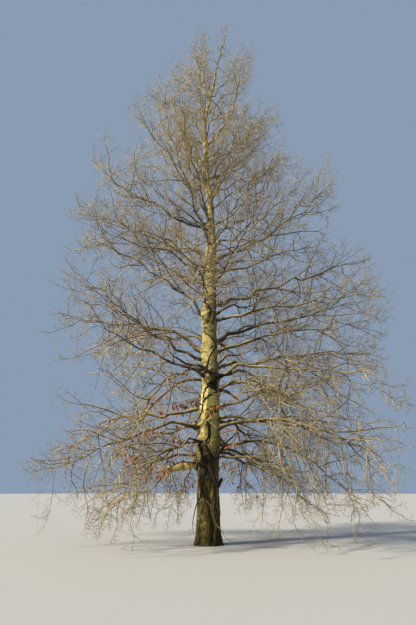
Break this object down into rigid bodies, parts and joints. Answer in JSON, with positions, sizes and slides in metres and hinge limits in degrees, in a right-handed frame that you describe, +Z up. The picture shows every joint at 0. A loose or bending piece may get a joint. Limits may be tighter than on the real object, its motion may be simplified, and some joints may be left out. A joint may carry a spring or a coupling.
{
  "type": "bare pyramidal oak tree",
  "caption": "Tall leafless oak with one straight trunk, drooping low boughs, level middle boughs and climbing upper ones, each ending in a mass of bare twigs.",
  "frame": {"origin": "centre of the flat cut under the trunk, at ground level", "axes": "+Z up along the trunk, -Y towards the side that the picture shows, +X to the right of that view"},
  "size_m": [12.3154, 11.6138, 20.9],
  "materials": {
    "trunk_bark": "grey-olive bark with fine furrows, matte",
    "bough_bark": "smoother olive-brown bark, matte",
    "twig_bark": "thin grey-brown twig bark, matte"
  },
  "bodies": {
    "root": {"trunk": "trunk_bark", "broken_limb": "bough_bark", "bough_right_01": "bough_bark", "bough_right_02": "bough_bark", "bough_right_03": "bough_bark", "bough_right_04": "bough_bark", "bough_right_05": "bough_bark", "bough_right_06": "bough_bark", "bough_right_07": "bough_bark", "bough_right_08": "bough_bark", "bough_right_09": "bough_bark", "bough_left_01": "bough_bark", "bough_left_02": "bough_bark", "bough_left_03": "bough_bark", "bough_left_04": "bough_bark", "bough_left_05": "bough_bark", "bough_left_06": "bough_bark", "bough_left_07": "bough_bark", "bough_left_leader": "bough_bark", "bough_near_01": "bough_bark", "bough_near_02": "bough_bark", "bough_near_03": "bough_bark", "bough_far_01": "bough_bark", "bough_far_02": "bough_bark", "bough_far_03": "bough_bark", "twigs_right_01": "twig_bark", "twigs_right_02": "twig_bark", "twigs_right_03": "twig_bark", "twigs_right_04": "twig_bark", "twigs_right_05": "twig_bark", "twigs_right_06": "twig_bark", "twigs_right_07": "twig_bark", "twigs_right_08": "twig_bark", "twigs_right_09": "twig_bark", "twigs_right_10": "twig_bark", "twigs_right_11": "twig_bark", "twigs_right_12": "twig_bark", "twigs_left_01": "twig_bark", "twigs_left_02": "twig_bark", "twigs_left_03": "twig_bark", "twigs_left_04": "twig_bark", "twigs_left_05": "twig_bark", "twigs_left_06": "twig_bark", "twigs_left_07": "twig_bark", "twigs_left_08": "twig_bark", "twigs_left_09": "twig_bark", "twigs_left_10": "twig_bark", "twigs_left_11": "twig_bark", "twigs_left_leader": "twig_bark", "twigs_near_01": "twig_bark", "twigs_near_02": "twig_bark", "twigs_near_03": "twig_bark", "twigs_near_04": "twig_bark", "twigs_near_05": "twig_bark", "twigs_far_01": "twig_bark", "twigs_far_02": "twig_bark", "twigs_far_03": "twig_bark", "twigs_far_04": "twig_bark", "twigs_top": "twig_bark"}
  },
  "joints": []
}
